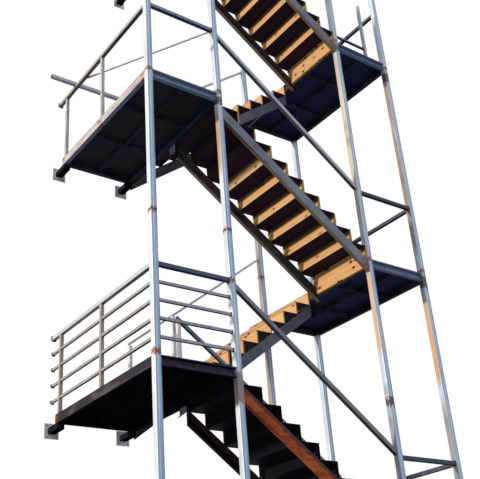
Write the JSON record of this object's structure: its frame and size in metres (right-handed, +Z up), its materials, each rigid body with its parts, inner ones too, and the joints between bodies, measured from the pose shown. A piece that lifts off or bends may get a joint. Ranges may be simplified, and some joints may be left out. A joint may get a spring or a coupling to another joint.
{
  "type": "fire escape stair",
  "caption": "Open steel fire escape stair with half-turn flights between left and right landings on square posts, with partly fitted railings.",
  "frame": {"origin": "centre of the footprint's bounding box, at ground level", "axes": "+X along the wall to the right, +Y towards the wall, +Z up"},
  "size_m": [4.5876, 2.4944, 11.65],
  "materials": {
    "galvanised": "dull galvanised",
    "dark_paint": "worn dark blue-grey paint",
    "red_primer": "red primer, rusting",
    "tread_paint": "dark maroon paint",
    "boards": "bare pine"
  },
  "bodies": {
    "root": {"base_plates": "galvanised", "flight_1_stringers": "dark_paint", "flight_1_treads": "tread_paint", "flight_2_stringers": "red_primer", "flight_2_treads": "tread_paint", "flight_3_stringers": "dark_paint", "flight_3_treads": "tread_paint", "flight_4_stringers": "dark_paint", "flight_4_treads": "tread_paint", "flight_5_stringers": "dark_paint", "flight_5_treads": "tread_paint", "flight_6_stringers": "dark_paint", "flight_6_treads": "tread_paint", "flight_hangers": "dark_paint", "inner_handrail": "dark_paint", "left_landing_1_deck": "dark_paint", "left_landing_1_frame": "dark_paint", "left_landing_2_deck": "dark_paint", "left_landing_2_frame": "dark_paint", "left_landing_3_deck": "dark_paint", "left_landing_3_frame": "dark_paint", "left_rail_1": "galvanised", "left_rail_2": "galvanised", "left_rail_3": "galvanised", "loose_tubes": "galvanised", "outer_flight_handrails": "galvanised", "outer_lane_risers": "boards", "outer_rails_first_landing": "dark_paint", "outer_top_rails": "dark_paint", "post_a": "galvanised", "post_b": "galvanised", "post_c": "galvanised", "post_c_wall": "galvanised", "post_d": "galvanised", "post_d_wall": "galvanised", "right_landing_1_deck": "dark_paint", "right_landing_1_frame": "dark_paint", "right_landing_2_deck": "dark_paint", "right_landing_2_frame": "dark_paint", "right_landing_3_deck": "dark_paint", "right_landing_3_frame": "dark_paint", "right_side_rails": "galvanised", "short_posts": "galvanised", "top_landing_rail_pieces": "dark_paint", "wall_flight_handrails": "galvanised", "wall_lane_risers": "boards", "wall_plates": "galvanised", "wall_stubs": "dark_paint"}
  },
  "joints": []
}
